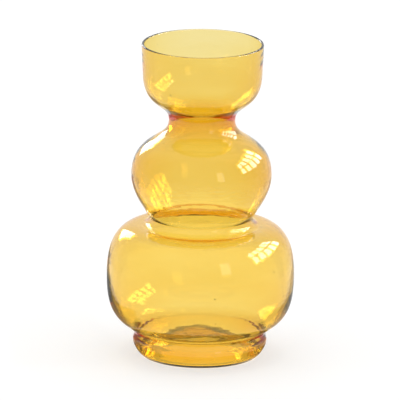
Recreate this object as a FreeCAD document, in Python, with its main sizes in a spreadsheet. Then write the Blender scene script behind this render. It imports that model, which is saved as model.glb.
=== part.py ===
import FreeCAD, Part
import os
import re
import Sketcher

# A gourd vase of clear blown glass, free-standing and open at the top. Four lengths of glass follow
# one another up the axis: a low hollow foot that holds the bottom, a large squat bulb, a smaller
# round bulb and a cup-shaped mouth. Each meets the next on a flat ring as wide as the glass is
# thick, at a crease or a neck, and all four open into each other. The origin is the centre of the
# ring that the vase stands on, and +Z is up.

# The sizes, in mm. A radius is to the outside of the glass. The crease and the two necks are where
# two lengths meet, so each of their sizes serves both.
sizes = {
    # the foot: its widest part, the narrow ring that it stands on, and the bottom pushed up inside
    "foot_height": 20.6,
    "foot_radius": 62.9,
    "foot_wall": 4.4,
    "heel_inset": 8.5,
    "heel_wall": 3.5,
    "land_width": 2.5,
    "bottom_rise": 19.0,
    "bottom_wall": 2.4,
    # the crease between the foot and the lower bulb
    "crease_radius": 62.1,
    "crease_wall": 3.2,
    # the lower bulb, with a hollow round out of the crease and another up into the neck
    "lower_height": 112.5,
    "lower_radius": 88.2,
    "lower_wall": 2.4,
    "crease_round": 6.7,
    "collar_round": 7.5,
    # the wide neck between the two bulbs
    "lower_neck_radius": 48.3,
    "lower_neck_wall": 3.2,
    # the middle bulb
    "middle_height": 93.4,
    "middle_radius": 65.9,
    "middle_wall": 3.4,
    # the narrow neck under the cup
    "upper_neck_radius": 31.1,
    "upper_neck_wall": 5.2,
    # the cup: where it turns upright, and its mouth with a rounded lip
    "cup_height": 73.5,
    "cup_radius": 56.1,
    "cup_wall": 2.7,
    "mouth_radius": 57.2,
    "lip_wall": 2.4,
}

doc = FreeCAD.newDocument("gourd_vase")
sheet = doc.addObject("Spreadsheet::Sheet", "size")
for row, (name, value) in enumerate(sizes.items(), start=1):
    sheet.set(f"A{row}", name)
    sheet.set(f"B{row}", str(value))
    sheet.setAlias(f"B{row}", name)
doc.recompute()


def from_sheet(text):
    """The same sum, with every size in it read from the sheet."""
    return re.sub(r"[a-z][a-z_]+", lambda word: "size." + word.group(), text)


def between(first, last, share):
    """The sum for a length that lies a share of the way from the first length to the last."""
    if share in (0, 1):
        return last if share else first
    return f"({first}) + (({last}) - ({first})) * {share}"


def curve(start, end, shares):
    """The poles of a smooth curve between two points, each of them a radius and a height. A handle's
    two shares say how far it lies from start to end, in radius and in height."""
    handles = [(between(start[0], end[0], across), between(start[1], end[1], up)) for across, up in shares]
    return [start, *handles, end]


def tie_point(sketch, geometry, position, point, number):
    """Ties a point of the sketch to its radius and its height, or to the axis that it lies on."""
    for text, kind, axis, word in (
        (point[0], "DistanceX", -2, "radius"),
        (point[1], "DistanceY", -1, "height"),
    ):
        if text == "0":
            sketch.addConstraint(Sketcher.Constraint("PointOnObject", geometry, position, axis))
            continue
        length = sheet.evalExpression(from_sheet(text))
        tie = sketch.addConstraint(Sketcher.Constraint(kind, -1, 1, geometry, position, length))
        sketch.renameConstraint(tie, f"{word}_{number}")
        sketch.setExpression(f"Constraints.{word}_{number}", from_sheet(text))


def draw_outline(sketch, edges):
    """Draws a closed outline. An edge is a list of poles: two make a straight line, more a curve."""
    first_use = {}
    number = 0
    for poles in edges:
        places = [
            FreeCAD.Vector(*(sheet.evalExpression(from_sheet(text)) for text in pole), 0) for pole in poles
        ]
        if len(poles) == 2:
            edge = sketch.addGeometry(Part.LineSegment(*places), False)
        else:
            spline = Part.BSplineCurve()
            spline.buildFromPolesMultsKnots(places, [len(poles)] * 2, [0, 1], False, len(poles) - 1)
            edge = sketch.addGeometry(spline, False)
            sketch.exposeInternalGeometry(edge)
        for position, pole in ((1, poles[0]), (2, poles[-1])):
            if pole in first_use:
                sketch.addConstraint(Sketcher.Constraint("Coincident", edge, position, *first_use[pole]))
                continue
            first_use[pole] = (edge, position)
            number += 1
            tie_point(sketch, edge, position, pole, number)
        for pole_geometry, pole in enumerate(poles[1:-1], start=edge + 2):
            number += 1
            tie_point(sketch, pole_geometry, 3, pole, number)


def turn_length(label, outside, inside, stands_at):
    """Turns one length of glass about its axis. Its outside and its inside both run from the bottom
    to the top, and a straight line joins their ends wherever these lie apart."""
    body = doc.addObject("PartDesign::Body", label)
    body.Label = label
    sketch = body.newObject("Sketcher::SketchObject", label + "_outline")
    upright = [plane for plane in body.Origin.OriginFeatures if plane.Role == "XZ_Plane"]
    sketch.AttachmentSupport = [(upright[0], "")]
    sketch.MapMode = "FlatFace"
    ends = ((outside[0][0], inside[0][0]), (outside[-1][-1], inside[-1][-1]))
    draw_outline(sketch, outside + inside + [list(pair) for pair in ends if pair[0] != pair[1]])
    turned = body.newObject("PartDesign::Revolution", label + "_turned")
    turned.Profile = sketch
    turned.ReferenceAxis = (sketch, ["V_Axis"])
    turned.Angle = 360
    body.setExpression("Placement.Base.z", from_sheet(stands_at))
    return body


# The foot. It stands on a narrow flat ring, the land. Inside the land the bottom of the vase is
# pushed up into a low dome, and behind the heel the inside of the dome falls to a round trough.
dome_under_shares = [(0.77, 0), (0.85, 0.7)]
dome_over_shares = [(0.88, 0), (0.844, 1)]
heel_shares = [(0.1, 0), (1, 0.49)]
trough_shares = [(0.3, 0), (1, 0.4)]
foot_side_shares = [(0, 0.3), (1, 0.33)]
foot_bulge_share = 0.743

foot_bulge = f"foot_height * {foot_bulge_share}"
dome_under = ("0", "bottom_rise - bottom_wall")
dome_over = ("0", "bottom_rise")
land_inner = ("foot_radius - heel_inset - land_width", "0")
land_outer = ("foot_radius - heel_inset", "0")
trough = ("foot_radius - heel_inset", "heel_wall")
foot_widest = ("foot_radius", foot_bulge)
foot_widest_inside = ("foot_radius - foot_wall", foot_bulge)
foot_top = ("crease_radius", "foot_height")
foot_top_inside = ("crease_radius - crease_wall", "foot_height")

foot = turn_length(
    "foot",
    outside=[
        curve(dome_under, land_inner, dome_under_shares),
        [land_inner, land_outer],
        curve(land_outer, foot_widest, heel_shares),
        curve(foot_widest, foot_top, foot_side_shares),
    ],
    inside=[
        curve(dome_over, trough, dome_over_shares),
        curve(trough, foot_widest_inside, trough_shares),
        curve(foot_widest_inside, foot_top_inside, foot_side_shares),
    ],
    stands_at="0",
)

# The lower bulb. A small hollow round turns it sharply out of the crease, and it is widest just above
# half way up. It then rolls over a full shoulder to the collar, a second hollow round that stands
# the neck upright. The inside is one curve from the crease to the widest part.
crease_spread_share = 0.587
crease_round_shares = [(0, 0.389), (0.4, 0.789)]
lower_side_shares = [(0.795, 0.209), (1, 0.454)]
lower_side_inside_shares = [(0.05, 0.24), (1, 0.12)]
lower_shoulder_shares = [(0, 0.61), (0.27, 1)]
lower_shoulder_inside_shares = [(0, 0.924), (0.641, 1)]
collar_shares = [(0.55, 0), (1, 0.45)]
lower_belly_share = 0.51

lower_belly = f"lower_height * {lower_belly_share}"
lower_bottom = ("crease_radius", "0")
lower_bottom_inside = ("crease_radius - crease_wall", "0")
crease_edge = (f"crease_radius + crease_round * {crease_spread_share}", "crease_round")
lower_widest = ("lower_radius", lower_belly)
lower_widest_inside = ("lower_radius - lower_wall", lower_belly)
shoulder_top = ("lower_neck_radius + collar_round", "lower_height - collar_round")
shoulder_top_inside = (
    "lower_neck_radius + collar_round",
    "lower_height - collar_round - lower_neck_wall",
)
lower_top = ("lower_neck_radius", "lower_height")
lower_top_inside = ("lower_neck_radius - lower_neck_wall", "lower_height")

lower_bulb = turn_length(
    "lower_bulb",
    outside=[
        curve(lower_bottom, crease_edge, crease_round_shares),
        curve(crease_edge, lower_widest, lower_side_shares),
        curve(lower_widest, shoulder_top, lower_shoulder_shares),
        curve(shoulder_top, lower_top, collar_shares),
    ],
    inside=[
        curve(lower_bottom_inside, lower_widest_inside, lower_side_inside_shares),
        curve(lower_widest_inside, shoulder_top_inside, lower_shoulder_inside_shares),
        curve(shoulder_top_inside, lower_top_inside, collar_shares),
    ],
    stands_at="foot_height",
)

# The middle bulb. It rises from the wide neck in one round side, and above its widest part the glass
# thickens as it draws in to the narrow neck.
middle_side_shares = [(0, 0.06), (1, 0.505)]
middle_side_inside_shares = [(0, 0.02), (1, 0.5)]
middle_shoulder_shares = [(0, 0.71), (1, 0.61)]
middle_shoulder_inside_shares = [(0, 0.7), (1, 0.6)]
middle_belly_share = 0.437

middle_belly = f"middle_height * {middle_belly_share}"
middle_bottom = ("lower_neck_radius", "0")
middle_bottom_inside = ("lower_neck_radius - lower_neck_wall", "0")
middle_widest = ("middle_radius", middle_belly)
middle_widest_inside = ("middle_radius - middle_wall", middle_belly)
middle_top = ("upper_neck_radius", "middle_height")
middle_top_inside = ("upper_neck_radius - upper_neck_wall", "middle_height")

middle_bulb = turn_length(
    "middle_bulb",
    outside=[
        curve(middle_bottom, middle_widest, middle_side_shares),
        curve(middle_widest, middle_top, middle_shoulder_shares),
    ],
    inside=[
        curve(middle_bottom_inside, middle_widest_inside, middle_side_inside_shares),
        curve(middle_widest_inside, middle_top_inside, middle_shoulder_inside_shares),
    ],
    stands_at="foot_height + lower_height",
)

# The cup. It opens out of the narrow neck in one sweep, turns upright, and its wall thins a little on
# the way up to a lip that is rounded over.
cup_sweep_shares = [(0, 0.39), (1, 0.25)]
cup_sweep_inside_shares = [(0, 0.39), (1, 0.25)]
cup_wall_shares = [(0, 0.25), (1, 0.6)]
lip_outer_shares = [(0, 0.55), (0.45, 1)]
lip_inner_shares = [(0.55, 0), (1, 0.45)]
cup_turn_share = 0.62

cup_turn = f"cup_height * {cup_turn_share}"
cup_bottom = ("upper_neck_radius", "0")
cup_bottom_inside = ("upper_neck_radius - upper_neck_wall", "0")
cup_upright = ("cup_radius", cup_turn)
cup_upright_inside = ("cup_radius - cup_wall", cup_turn)
lip_outside = ("mouth_radius", "cup_height - lip_wall / 2")
lip_top = ("mouth_radius - lip_wall / 2", "cup_height")
lip_inside = ("mouth_radius - lip_wall", "cup_height - lip_wall / 2")

cup = turn_length(
    "cup",
    outside=[
        curve(cup_bottom, cup_upright, cup_sweep_shares),
        curve(cup_upright, lip_outside, cup_wall_shares),
        curve(lip_outside, lip_top, lip_outer_shares),
        curve(lip_top, lip_inside, lip_inner_shares),
    ],
    inside=[
        curve(cup_bottom_inside, cup_upright_inside, cup_sweep_inside_shares),
        curve(cup_upright_inside, lip_inside, cup_wall_shares),
    ],
    stands_at="foot_height + lower_height + middle_height",
)

doc.recompute()
for thing in doc.Objects:
    if "Invalid" in thing.State or "Error" in thing.State:
        raise RuntimeError(f"{thing.Label} did not build: {thing.State}")
lengths = [foot, lower_bulb, middle_bulb, cup]
for length in lengths:
    if length.Shape.isNull() or not length.Shape.isValid():
        raise RuntimeError(f"{length.Label} has no sound shape")
    print(f"{length.Label}: {length.Shape.Volume:.0f} mm3, {length.Shape.BoundBox}")

os.makedirs("parts", exist_ok=True)
for length in lengths:
    length.Shape.exportStep(f"parts/{length.Label}.step")
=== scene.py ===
import math

import bpy
from mathutils import Matrix, Vector


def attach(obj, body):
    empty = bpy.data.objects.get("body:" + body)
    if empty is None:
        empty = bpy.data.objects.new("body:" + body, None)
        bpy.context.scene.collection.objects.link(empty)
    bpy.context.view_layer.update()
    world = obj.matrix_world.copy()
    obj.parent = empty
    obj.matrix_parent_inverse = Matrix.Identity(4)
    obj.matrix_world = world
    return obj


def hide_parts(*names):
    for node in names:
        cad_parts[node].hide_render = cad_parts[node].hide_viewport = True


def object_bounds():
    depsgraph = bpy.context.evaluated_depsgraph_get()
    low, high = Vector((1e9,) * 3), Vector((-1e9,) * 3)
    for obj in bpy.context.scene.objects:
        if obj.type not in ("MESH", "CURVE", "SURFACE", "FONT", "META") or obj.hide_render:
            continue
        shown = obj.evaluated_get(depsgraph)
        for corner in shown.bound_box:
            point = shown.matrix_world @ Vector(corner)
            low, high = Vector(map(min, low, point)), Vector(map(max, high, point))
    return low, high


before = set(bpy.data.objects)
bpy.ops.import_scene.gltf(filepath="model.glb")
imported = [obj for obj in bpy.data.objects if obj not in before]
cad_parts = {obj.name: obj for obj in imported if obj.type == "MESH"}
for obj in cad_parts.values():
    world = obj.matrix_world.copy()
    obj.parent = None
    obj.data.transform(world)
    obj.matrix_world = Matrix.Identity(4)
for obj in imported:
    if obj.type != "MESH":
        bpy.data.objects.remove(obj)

cad_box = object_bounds()
vase_height = cad_box[1][2]

# The foot: the low hollow bottom of the vase, of clear blown glass, with its bottom pushed up inside
# it, so that the vase stands on a narrow ring. An outline here is a row of curves from the table up,
# in mm from the axis and from the table, and each length of glass has one outside and one inside.
foot_height = 20.6
foot_radius = 62.9
foot_wall = 4.4
heel_inset = 8.5
heel_wall = 3.5
land_width = 2.5
bottom_rise = 19.0
bottom_wall = 2.4
crease_radius = 62.1
crease_wall = 3.2
foot_bulge_share = 0.743
straight_shares = [(1 / 3, 1 / 3), (2 / 3, 2 / 3)]
underside_shares = [(0.77, 0), (0.85, 0.7)]
heel_shares = [(0.1, 0), (1, 0.49)]
foot_side_shares = [(0, 0.3), (1, 0.33)]
bottom_shares = [(0.88, 0), (0.844, 1)]
heel_inside_shares = [(0.3, 0), (1, 0.4)]


def curve(start, end, shares):
    """A smooth curve from start to end. A handle's two shares say how far it lies from the one to
    the other, across and up."""
    handles = [
        (start[0] + (end[0] - start[0]) * across, start[1] + (end[1] - start[1]) * up)
        for across, up in shares
    ]
    return [start, *handles, end]


land_inner = (foot_radius - heel_inset - land_width, 0)
land_outer = (foot_radius - heel_inset, 0)
trough = (foot_radius - heel_inset, heel_wall)
foot_bulge = foot_height * foot_bulge_share
foot_widest = (foot_radius, foot_bulge)
foot_widest_inside = (foot_radius - foot_wall, foot_bulge)
crease = (crease_radius, foot_height)
crease_inside = (crease_radius - crease_wall, foot_height)
foot_outside = [
    curve((0, bottom_rise - bottom_wall), land_inner, underside_shares),
    curve(land_inner, land_outer, straight_shares),
    curve(land_outer, foot_widest, heel_shares),
    curve(foot_widest, crease, foot_side_shares),
]
foot_inside = [
    curve((0, bottom_rise), trough, bottom_shares),
    curve(trough, foot_widest_inside, heel_inside_shares),
    curve(foot_widest_inside, crease_inside, foot_side_shares),
]

# The lower bulb: the large squat body, of thinner glass. It starts at the crease over the foot, swells
# sharply out of it, and rolls over a full shoulder into a collar that stands the neck up. It is built
# as if joined hot at the crease, where the photograph shows no join.
lower_height = 112.5
lower_radius = 88.2
lower_wall = 2.4
crease_round = 6.7
collar_round = 7.5
neck_radius = 48.3
neck_wall = 3.2
lower_belly_share = 0.51
crease_swell_share = 0.587
crease_round_shares = [(0, 0.389), (0.4, 0.789)]
swell_shares = [(0.795, 0.209), (1, 0.454)]
swell_inside_shares = [(0.05, 0.24), (1, 0.12)]
shoulder_shares = [(0, 0.61), (0.27, 1)]
shoulder_inside_shares = [(0, 0.924), (0.641, 1)]
collar_shares = [(0.55, 0), (1, 0.45)]

lower_top = foot_height + lower_height
lower_belly = foot_height + (lower_top - foot_height) * lower_belly_share
lower_widest = (lower_radius, lower_belly)
lower_widest_inside = (lower_radius - lower_wall, lower_belly)
crease_edge = (crease_radius + crease_round * crease_swell_share, foot_height + crease_round)
collar_start = (neck_radius + collar_round, lower_top - collar_round)
collar_start_inside = (neck_radius + collar_round, lower_top - collar_round - neck_wall)
neck = (neck_radius, lower_top)
neck_inside = (neck_radius - neck_wall, lower_top)
lower_outside = [
    curve(crease, crease_edge, crease_round_shares),
    curve(crease_edge, lower_widest, swell_shares),
    curve(lower_widest, collar_start, shoulder_shares),
    curve(collar_start, neck, collar_shares),
]
lower_inside = [
    curve(crease_inside, lower_widest_inside, swell_inside_shares),
    curve(lower_widest_inside, collar_start_inside, shoulder_inside_shares),
    curve(collar_start_inside, neck_inside, collar_shares),
]

# The middle bulb: a smaller round bulb on the wide neck, of clear blown glass. Its wall is taken to
# thicken above its widest part, where the glass is drawn in to the narrow neck.
middle_height = 93.4
middle_radius = 65.9
middle_wall = 3.4
throat_radius = 31.1
throat_wall = 5.2
middle_belly_share = 0.437
middle_rise_shares = [(0, 0.06), (1, 0.505)]
middle_rise_inside_shares = [(0, 0.02), (1, 0.5)]
drawn_in_shares = [(0, 0.71), (1, 0.61)]
drawn_in_inside_shares = [(0, 0.7), (1, 0.6)]

middle_top = lower_top + middle_height
middle_belly = lower_top + (middle_top - lower_top) * middle_belly_share
middle_widest = (middle_radius, middle_belly)
middle_widest_inside = (middle_radius - middle_wall, middle_belly)
throat = (throat_radius, middle_top)
throat_inside = (throat_radius - throat_wall, middle_top)
middle_outside = [
    curve(neck, middle_widest, middle_rise_shares),
    curve(middle_widest, throat, drawn_in_shares),
]
middle_inside = [
    curve(neck_inside, middle_widest_inside, middle_rise_inside_shares),
    curve(middle_widest_inside, throat_inside, drawn_in_inside_shares),
]

# The cup: the mouth of the vase, of clear blown glass. It opens out of the narrow neck in one sweep,
# turns upright, and ends in a rounded lip.
cup_height = 73.5
cup_radius = 56.1
cup_wall = 2.7
mouth_radius = 57.2
lip_wall = 2.4
cup_turn_share = 0.62
sweep_shares = [(0, 0.39), (1, 0.25)]
upright_shares = [(0, 0.25), (1, 0.6)]
lip_rise_shares = [(0, 0.55), (0.45, 1)]
lip_fall_shares = [(0.55, 0), (1, 0.45)]

cup_top = middle_top + cup_height
cup_turn = middle_top + (cup_top - middle_top) * cup_turn_share
cup_side = (cup_radius, cup_turn)
cup_side_inside = (cup_radius - cup_wall, cup_turn)
lip_outer = (mouth_radius, cup_top - lip_wall / 2)
lip_crown = (mouth_radius - lip_wall / 2, cup_top)
lip_inner = (mouth_radius - lip_wall, cup_top - lip_wall / 2)
cup_outside = [
    curve(throat, cup_side, sweep_shares),
    curve(cup_side, lip_outer, upright_shares),
    curve(lip_outer, lip_crown, lip_rise_shares),
    curve(lip_crown, lip_inner, lip_fall_shares),
]
cup_inside = [
    curve(throat_inside, cup_side_inside, sweep_shares),
    curve(cup_side_inside, lip_inner, upright_shares),
]

# The blown glass: the four lengths show no surface between them, so they are one closed skin here, up
# the inside, over the lip and down the outside, turned about the axis on a lathe of nodes.
outside = foot_outside + lower_outside + middle_outside + cup_outside
inside = foot_inside + lower_inside + middle_inside + cup_inside
outline = inside + [edge[::-1] for edge in outside[::-1]]
mm_in_metre = 1000
turning_radius = 1.0
steps_in_curve = 20
facets_round_axis = 192
weld_distance = 1e-5


def on_lathe(point):
    """A point of the outline in metres, as the lathe takes it: X is out from the circle, Y is down."""
    return (point[0] / mm_in_metre - turning_radius, -point[1] / mm_in_metre, 0)


outline_curve = bpy.data.curves.new("glass_outline", "CURVE")
outline_curve.dimensions = "3D"
spline = outline_curve.splines.new("BEZIER")
spline.bezier_points.add(len(outline))
for edge, start, end in zip(outline, spline.bezier_points, spline.bezier_points[1:]):
    start.co, start.handle_right, end.handle_left, end.co = [on_lathe(point) for point in edge]
spline.bezier_points[0].handle_left = spline.bezier_points[0].co
spline.bezier_points[-1].handle_right = spline.bezier_points[-1].co
glass_outline = bpy.data.objects.new("glass_outline", outline_curve)
bpy.context.collection.objects.link(glass_outline)

lathe = bpy.data.node_groups.new("glass_lathe", "GeometryNodeTree")
lathe.interface.new_socket("Outline", in_out="INPUT", socket_type="NodeSocketGeometry")
lathe.interface.new_socket("Steps in Each Curve", in_out="INPUT", socket_type="NodeSocketInt")
lathe.interface.new_socket("Facets Round the Axis", in_out="INPUT", socket_type="NodeSocketInt")
lathe.interface.new_socket("Turning Radius", in_out="INPUT", socket_type="NodeSocketFloat")
lathe.interface.new_socket("Glass", in_out="INPUT", socket_type="NodeSocketMaterial")
lathe.interface.new_socket("Geometry", in_out="OUTPUT", socket_type="NodeSocketGeometry")


def set_socket(tree, socket, value):
    """Sets a node's input, or links it where the value is another node's output."""
    if isinstance(value, bpy.types.NodeSocket):
        tree.links.new(value, socket)
    else:
        socket.default_value = value


def add_node(tree, kind, **values):
    """Adds a node and sets its inputs by name."""
    node = tree.nodes.new(kind)
    for name, value in values.items():
        set_socket(tree, node.inputs[name.replace("_", " ")], value)
    return node


def add_math(tree, operation, *values):
    """Adds a node that works out one number from one or two others, and gives its output."""
    node = tree.nodes.new("ShaderNodeMath")
    node.operation = operation
    for socket, value in zip(node.inputs, values):
        set_socket(tree, socket, value)
    return node.outputs["Value"]


asked = lathe.nodes.new("NodeGroupInput").outputs
fine = add_node(
    lathe,
    "GeometryNodeSetSplineResolution",
    Geometry=asked["Outline"],
    Resolution=asked["Steps in Each Curve"],
)
circle = add_node(
    lathe,
    "GeometryNodeCurvePrimitiveCircle",
    Resolution=asked["Facets Round the Axis"],
    Radius=asked["Turning Radius"],
)
turned = add_node(
    lathe,
    "GeometryNodeCurveToMesh",
    Curve=circle.outputs["Curve"],
    Profile_Curve=fine.outputs["Geometry"],
)
merged = add_node(
    lathe, "GeometryNodeMergeByDistance", Geometry=turned.outputs["Mesh"], Distance=weld_distance
)
smooth = add_node(lathe, "GeometryNodeSetShadeSmooth", Geometry=merged.outputs["Geometry"])
whole = add_node(lathe, "GeometryNodeRealizeInstances", Geometry=smooth.outputs["Geometry"])
dressed = add_node(
    lathe, "GeometryNodeSetMaterial", Geometry=whole.outputs["Geometry"], Material=asked["Glass"]
)
add_node(lathe, "NodeGroupOutput", Geometry=dressed.outputs["Geometry"])

# The glass takes light away along its path, blue most of all, which makes it amber. Lost light is per
# metre for red, green and blue.
glass_ior = 1.5
lost_per_metre = (12.0, 74.0, 395.0)
tint_density = 400.0
amber = bpy.data.materials.new("amber_glass")
amber.use_nodes = True
amber_nodes = amber.node_tree
glass_shader = amber_nodes.nodes["Principled BSDF"]
glass_shader.inputs["Roughness"].default_value = 0.0
glass_shader.inputs["Transmission Weight"].default_value = 1.0
glass_shader.inputs["IOR"].default_value = glass_ior
tint = add_node(
    amber_nodes,
    "ShaderNodeVolumeAbsorption",
    Color=tuple(1 - lost / tint_density for lost in lost_per_metre) + (1,),
    Density=tint_density,
)
amber_nodes.links.new(tint.outputs["Volume"], amber_nodes.nodes["Material Output"].inputs["Volume"])

# Waves and ripples lie in level rings round the vase, and a few small seeds are scattered in it. The
# scales are in repeats per metre, and the heights are in metres.
ring_stretch = (1.0, 1.0, 3.2)
wave_scale = 13.0
wave_height = 0.00045
ripple_scale = 55.0
ripple_height = 0.00012
seed_scale = 140.0
seed_height = 0.0003
share_of_cells_with_seed = 0.04
seed_core = 0.05
seed_edge = 0.11
glass_place = amber_nodes.nodes.new("ShaderNodeTexCoord").outputs["Object"]
ring_place = add_node(
    amber_nodes, "ShaderNodeMapping", Vector=glass_place, Scale=ring_stretch
).outputs["Vector"]
waves = add_node(
    amber_nodes, "ShaderNodeTexNoise", Vector=ring_place, Scale=wave_scale, Detail=2.0, Roughness=0.45
)
ripples = add_node(
    amber_nodes, "ShaderNodeTexNoise", Vector=ring_place, Scale=ripple_scale, Detail=1.0, Roughness=0.5
)
seed_cells = add_node(amber_nodes, "ShaderNodeTexVoronoi", Vector=glass_place, Scale=seed_scale)
cell_pick = add_node(amber_nodes, "ShaderNodeSeparateColor", Color=seed_cells.outputs["Color"])
has_seed = add_math(amber_nodes, "LESS_THAN", cell_pick.outputs["Red"], share_of_cells_with_seed)
inside_seed = add_node(
    amber_nodes,
    "ShaderNodeMapRange",
    Value=seed_cells.outputs["Distance"],
    From_Min=seed_core,
    From_Max=seed_edge,
    To_Min=1.0,
    To_Max=0.0,
)
seeds = add_math(amber_nodes, "MULTIPLY", has_seed, inside_seed.outputs["Result"])
below = {}
for height, pattern in (
    (wave_height, waves.outputs["Fac"]),
    (ripple_height, ripples.outputs["Fac"]),
    (seed_height, seeds),
):
    relief = add_node(
        amber_nodes, "ShaderNodeBump", Strength=1.0, Distance=height, Height=pattern, **below
    )
    below = {"Normal": relief.outputs["Normal"]}
set_socket(amber_nodes, glass_shader.inputs["Normal"], relief.outputs["Normal"])

# Faint streaks tint the surface, and the glass at the narrow neck is made a little deeper in colour
# than its wall alone makes it.
streak_scale = 9.0
streak_start = 0.38
streak_end = 0.62
streak_colour = (0.985, 0.962, 0.86, 1)
clear_colour = (1, 1, 1, 1)
deep_reach = 0.018
deep_colour = (0.992, 0.945, 0.55, 1)
streaks = add_node(
    amber_nodes, "ShaderNodeTexNoise", Vector=ring_place, Scale=streak_scale, Detail=3.0, Roughness=0.5
)
colour_of_streaks = add_node(amber_nodes, "ShaderNodeValToRGB", Fac=streaks.outputs["Fac"])
streaked, unstreaked = colour_of_streaks.color_ramp.elements
streaked.position = streak_start
streaked.color = streak_colour
unstreaked.position = streak_end
unstreaked.color = clear_colour
height_in_glass = add_node(amber_nodes, "ShaderNodeSeparateXYZ", Vector=glass_place).outputs["Z"]
above_throat = add_math(amber_nodes, "SUBTRACT", height_in_glass, middle_top / mm_in_metre)
deepness = add_node(
    amber_nodes,
    "ShaderNodeMapRange",
    Value=add_math(amber_nodes, "ABSOLUTE", above_throat),
    From_Min=0.0,
    From_Max=deep_reach,
    To_Min=1.0,
    To_Max=0.0,
)
deepness.interpolation_type = "SMOOTHSTEP"
glass_colour = add_node(
    amber_nodes,
    "ShaderNodeMixRGB",
    Fac=deepness.outputs["Result"],
    Color1=colour_of_streaks.outputs["Color"],
    Color2=deep_colour,
)
glass_colour.blend_type = "MULTIPLY"
set_socket(amber_nodes, glass_shader.inputs["Base Color"], glass_colour.outputs["Color"])

turning = glass_outline.modifiers.new("turning", "NODES")
turning.node_group = lathe
lathe_settings = {
    "Steps in Each Curve": steps_in_curve,
    "Facets Round the Axis": facets_round_axis,
    "Turning Radius": turning_radius,
    "Glass": amber,
}
for item in lathe.interface.items_tree:
    if item.name in lathe_settings:
        turning[item.identifier] = lathe_settings[item.name]
bpy.context.view_layer.update()
evaluated = glass_outline.evaluated_get(bpy.context.evaluated_depsgraph_get())
vase_mesh = bpy.data.meshes.new_from_object(evaluated)
vase = bpy.data.objects.new("vase_glass", vase_mesh)
bpy.context.collection.objects.link(vase)
bpy.data.objects.remove(glass_outline)
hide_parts("foot", "lower_bulb", "middle_bulb", "cup")
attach(vase, "root")

# The table: a plain white top, so wide that its edge is out of sight. It takes the soft shadow of the
# vase, and glows a little so that it looks white to the camera and through the glass.
table_half = 3.0
table_colour = (0.45, 0.45, 0.45, 1)
table_roughness = 0.9
table_glow_colour = (1, 1, 1, 1)
table_glow = 0.56


def studio_sheet(name, corners, faces, material):
    """A flat studio sheet, not part of the vase, by its corners in metres."""
    mesh = bpy.data.meshes.new(name)
    mesh.from_pydata(corners, [], faces)
    mesh.materials.append(material)
    sheet = bpy.data.objects.new(name, mesh)
    bpy.context.collection.objects.link(sheet)
    return sheet


white_top = bpy.data.materials.new("white_top")
white_top.use_nodes = True
white_nodes = white_top.node_tree
white_shader = white_nodes.nodes["Principled BSDF"]
white_shader.inputs["Base Color"].default_value = table_colour
white_shader.inputs["Roughness"].default_value = table_roughness
white_shader.inputs["Emission Color"].default_value = table_glow_colour
light_path = white_nodes.nodes.new("ShaderNodeLightPath").outputs
seen = light_path["Is Camera Ray"]
for kind in ("Is Glossy Ray", "Is Transmission Ray"):
    seen = add_math(white_nodes, "MAXIMUM", seen, light_path[kind])
glow_if_seen = add_math(white_nodes, "MULTIPLY", seen, table_glow)
set_socket(white_nodes, white_shader.inputs["Emission Strength"], glow_if_seen)
table_corners = [
    (-table_half, -table_half, 0),
    (table_half, -table_half, 0),
    (table_half, table_half, 0),
    (-table_half, table_half, 0),
]
studio_sheet("table", table_corners, [(0, 1, 2, 3)], white_top)

# The shade on the table: flat cards with soft edges, which the camera doesn't see and the glass mirrors
# and lets through. They are a studio device, fitted to the photograph's one view, and draw the crease
# and edges of the lower bulb dark. Those under the vase stand for the light and shade at its foot.
card_roughness = 0.9
card_rows = 3


def keep_to_glass(sheet):
    """Hides a sheet from the camera and from the light on the table, and leaves it to the glass."""
    sheet.visible_camera = False
    sheet.visible_diffuse = False
    sheet.visible_shadow = False


def shade_card(name, lift, inner, outer, soft, colour):
    """A card between two rows of places on the table, soft along its outer edge and at its two ends,
    and along its inner edge too unless it starts at the axis of the vase."""
    card = bpy.data.materials.new(name)
    card.use_nodes = True
    card_nodes = card.node_tree
    card_shader = card_nodes.nodes["Principled BSDF"]
    card_shader.inputs["Base Color"].default_value = (0, 0, 0, 1)
    card_shader.inputs["Roughness"].default_value = card_roughness
    card_shader.inputs["Specular IOR Level"].default_value = 0.0
    card_shader.inputs["Emission Color"].default_value = (*colour, 1)
    card_shader.inputs["Emission Strength"].default_value = 1.0
    clear = add_node(card_nodes, "ShaderNodeBsdfTransparent")
    shade = add_node(card_nodes, "ShaderNodeAttribute")
    shade.attribute_name = "shade"
    blend = card_nodes.nodes.new("ShaderNodeMixShader")
    parts = (shade.outputs["Fac"], clear.outputs["BSDF"], card_shader.outputs["BSDF"])
    for socket, part in zip(blend.inputs, parts):
        set_socket(card_nodes, socket, part)
    surface = card_nodes.nodes["Material Output"].inputs["Surface"]
    set_socket(card_nodes, surface, blend.outputs["Shader"])

    whole_ring = math.dist(outer[0], outer[-1]) < soft
    from_axis = math.hypot(*inner[0]) < soft
    corners = []
    shades = []
    for column, (near, far) in enumerate(zip(inner, outer)):
        near = Vector((*near, lift))
        far = Vector((*far, lift))
        step = (far - near).normalized() * soft
        corners += [near, near + step, far - step, far]
        full = 1.0 if whole_ring or 0 < column < len(inner) - 1 else 0.0
        shades += [full if from_axis else 0.0, full, full, 0.0]
    corners_in_column = card_rows + 1
    faces = []
    for column in range(len(inner) - 1):
        for row in range(card_rows):
            first = corners_in_column * column + row
            across = first + corners_in_column
            faces.append((first, first + 1, across + 1, across))
    sheet = studio_sheet(name, corners, faces, card)
    sheet.data.attributes.new("shade", "FLOAT", "POINT").data.foreach_set("value", shades)
    keep_to_glass(sheet)


def arc(radius, start, end, steps=24):
    """Places on a circle round the vase. An angle, in degrees, runs from the camera to the right."""
    angles = [math.radians(start + (end - start) * n / steps) for n in range(steps + 1)]
    return [(radius * math.sin(angle), -radius * math.cos(angle)) for angle in angles]


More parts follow.
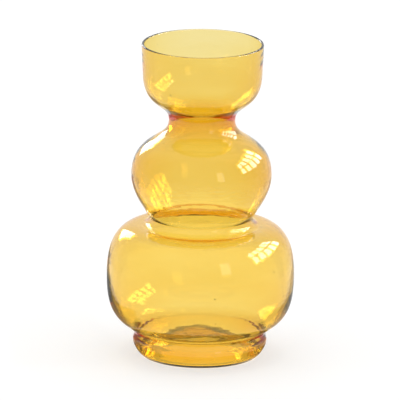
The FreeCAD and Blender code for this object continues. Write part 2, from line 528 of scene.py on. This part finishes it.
def ring_card(name, lift, from_radius, to_radius, start, end, soft, colour):
    """A card that runs round the vase from one angle to another, between two radii."""
    inner = arc(from_radius, start, end)
    outer = arc(to_radius, start, end)
    shade_card(name, lift, inner, outer, soft, colour)


ring_card(
    "under_light",
    lift=0.0002,
    from_radius=0.0,
    to_radius=0.038,
    start=-180,
    end=180,
    soft=0.003,
    colour=(1.06, 0.86, 0.62),
)
ring_card(
    "under_shade",
    lift=0.0003,
    from_radius=0.042,
    to_radius=0.051,
    start=130,
    end=230,
    soft=0.002,
    colour=(0.10, 0.08, 0.06),
)
ring_card(
    "heel_light",
    lift=0.0004,
    from_radius=0.050,
    to_radius=0.057,
    start=-110,
    end=110,
    soft=0.001,
    colour=(1.3, 1.1, 0.8),
)
ring_card(
    "front_shade",
    lift=0.0005,
    from_radius=0.0565,
    to_radius=0.080,
    start=-150,
    end=150,
    soft=0.002,
    colour=(0.11, 0.10, 0.09),
)
ring_card(
    "far_shade",
    lift=0.0002,
    from_radius=0.50,
    to_radius=1.90,
    start=105,
    end=255,
    soft=0.12,
    colour=(0.935, 0.93, 0.915),
)

# The side cards run from beside the vase to far behind it. Their places are given for the right, in
# metres across and back from the axis, and the left ones are their mirror image, in a darker grey.
side_lift = 0.0009
side_soft = 0.004
side_inner = [(0.078, -0.06), (0.078, -0.045), (0.078, 0.05), (0.102, 0.13), (0.112, 0.17)]
side_outer = [(0.16, -0.06), (0.175, -0.045), (0.185, 0.05), (0.205, 0.13), (0.22, 0.17)]
back_lift = 0.0008
back_soft = 0.006
back_inner = [(0.100, 0.12), (0.106, 0.15), (0.118, 0.20), (0.155, 0.30), (0.18, 0.60), (0.18, 0.64)]
back_outer = [(0.20, 0.12), (0.21, 0.15), (0.24, 0.20), (0.27, 0.30), (0.33, 0.60), (0.33, 0.64)]
left_side_grey = (0.26, 0.24, 0.22)
left_back_grey = (0.36, 0.35, 0.33)
right_side_grey = (0.48, 0.46, 0.43)
right_back_grey = (0.62, 0.61, 0.58)


def on_side(places, side):
    """Places on the right as they are, or mirrored to the left where side is -1."""
    return [(side * across, back) for across, back in places]


for name, side, side_grey, back_grey in (
    ("left", -1, left_side_grey, left_back_grey),
    ("right", 1, right_side_grey, right_back_grey),
):
    inner = on_side(side_inner, side)
    outer = on_side(side_outer, side)
    shade_card(f"{name}_shade", side_lift, inner, outer, side_soft, side_grey)
    inner = on_side(back_inner, side)
    outer = on_side(back_outer, side)
    shade_card(f"{name}_back_shade", back_lift, inner, outer, back_soft, back_grey)

# The windows: a wide one of five panes in two rows to the right of the vase, a narrow one behind it to
# the left and a small one beside the camera. The glass mirrors them as the photograph's bright marks.
# An azimuth runs from the camera to the right.
pane_colour = (1.0, 0.99, 0.96, 1)


def window(name, azimuth, half_angle, lowest, highest, panes, rows, bar_share, distance, brightness):
    """An upright window that faces the vase, of panes side by side with bars between them."""
    glow = bpy.data.materials.new(name)
    glow.use_nodes = True
    glow_shader = glow.node_tree.nodes["Principled BSDF"]
    glow_shader.inputs["Base Color"].default_value = (0, 0, 0, 1)
    glow_shader.inputs["Emission Color"].default_value = pane_colour
    glow_shader.inputs["Emission Strength"].default_value = brightness
    out = Vector((math.sin(azimuth), -math.cos(azimuth), 0))
    along = Vector((-out.y, out.x, 0))
    foot_of_wall = out * distance + Vector((0, 0, vase_height / 2))
    bottom = distance * math.tan(lowest)
    half_width = distance * math.tan(half_angle)
    pane_step = 2 * half_width / panes
    row_step = (distance * math.tan(highest) - bottom) / rows
    bar = pane_step * bar_share
    corners = []
    for row in range(rows):
        low = Vector((0, 0, bottom + row * row_step + bar / 2))
        high = Vector((0, 0, bottom + (row + 1) * row_step - bar / 2))
        for pane in range(panes):
            start = foot_of_wall + along * (-half_width + pane * pane_step + bar / 2)
            end = start + along * (pane_step - bar)
            corners += [start + low, end + low, end + high, start + high]
    faces = [tuple(range(first, first + 4)) for first in range(0, len(corners), 4)]
    keep_to_glass(studio_sheet(name, corners, faces, glow))


window(
    "right_window",
    azimuth=math.radians(105),
    half_angle=math.radians(32),
    lowest=math.radians(15),
    highest=math.radians(44),
    panes=5,
    rows=2,
    bar_share=0.28,
    distance=1.2,
    brightness=10.0,
)
window(
    "left_window",
    azimuth=math.radians(-151.5),
    half_angle=math.radians(8.5),
    lowest=math.radians(9),
    highest=math.radians(29),
    panes=1,
    rows=1,
    bar_share=0.0,
    distance=1.6,
    brightness=6.5,
)
window(
    "front_window",
    azimuth=math.radians(32),
    half_angle=math.radians(6),
    lowest=math.radians(6),
    highest=math.radians(31),
    panes=1,
    rows=1,
    bar_share=0.0,
    distance=1.6,
    brightness=2.6,
)

# The studio: soft white light from all round, a little stronger from above. The camera sees it as
# plain white.
light_low = 0.95
light_high = 1.07
light_seen = 1.0
rise_start = math.radians(25)
rise_end = math.radians(70)
studio = bpy.data.worlds.new("studio")
bpy.context.scene.world = studio
studio.use_nodes = True
studio_nodes = studio.node_tree
looked_at = studio_nodes.nodes.new("ShaderNodeTexCoord").outputs["Generated"]
upward = add_node(studio_nodes, "ShaderNodeSeparateXYZ", Vector=looked_at).outputs["Z"]
brightness = add_node(
    studio_nodes,
    "ShaderNodeMapRange",
    Value=upward,
    From_Min=math.sin(rise_start),
    From_Max=math.sin(rise_end),
    To_Min=light_low,
    To_Max=light_high,
)
camera_ray = studio_nodes.nodes.new("ShaderNodeLightPath").outputs["Is Camera Ray"]
strength = add_node(
    studio_nodes, "ShaderNodeMix", Factor=camera_ray, A=brightness.outputs["Result"], B=light_seen
)
background = studio_nodes.nodes["Background"]
background.inputs["Color"].default_value = (1, 1, 1, 1)
set_socket(studio_nodes, background.inputs["Strength"], strength.outputs["Result"])

# The camera: far off, a little above the vase, at the photograph's angle.
camera_distance = 10.0
camera_elevation = math.radians(14.9)
camera_roll = math.radians(0.63)
frame_side = 0.375
sensor_width = 36.0
shift_right = -0.003
shift_up = -0.0035
bounces = 10
vase_middle = Vector((0, 0, vase_height / 2))
camera_data = bpy.data.cameras.new("camera")
camera_data.sensor_width = sensor_width
camera_data.lens = sensor_width * camera_distance / frame_side
camera_data.shift_x = shift_right
camera_data.shift_y = shift_up
camera_data.clip_end = 2 * camera_distance
camera = bpy.data.objects.new("camera", camera_data)
bpy.context.collection.objects.link(camera)
camera_place = vase_middle + camera_distance * Vector(
    (0, -math.cos(camera_elevation), math.sin(camera_elevation))
)
camera.matrix_world = (
    Matrix.Translation(camera_place)
    @ Matrix.Rotation(math.pi / 2 - camera_elevation, 4, "X")
    @ Matrix.Rotation(camera_roll, 4, "Z")
)
bpy.context.scene.camera = camera
bpy.context.scene.view_settings.view_transform = "Standard"
bpy.context.scene.cycles.max_bounces = bounces
bpy.context.scene.cycles.glossy_bounces = bounces
bpy.context.scene.cycles.transmission_bounces = bounces
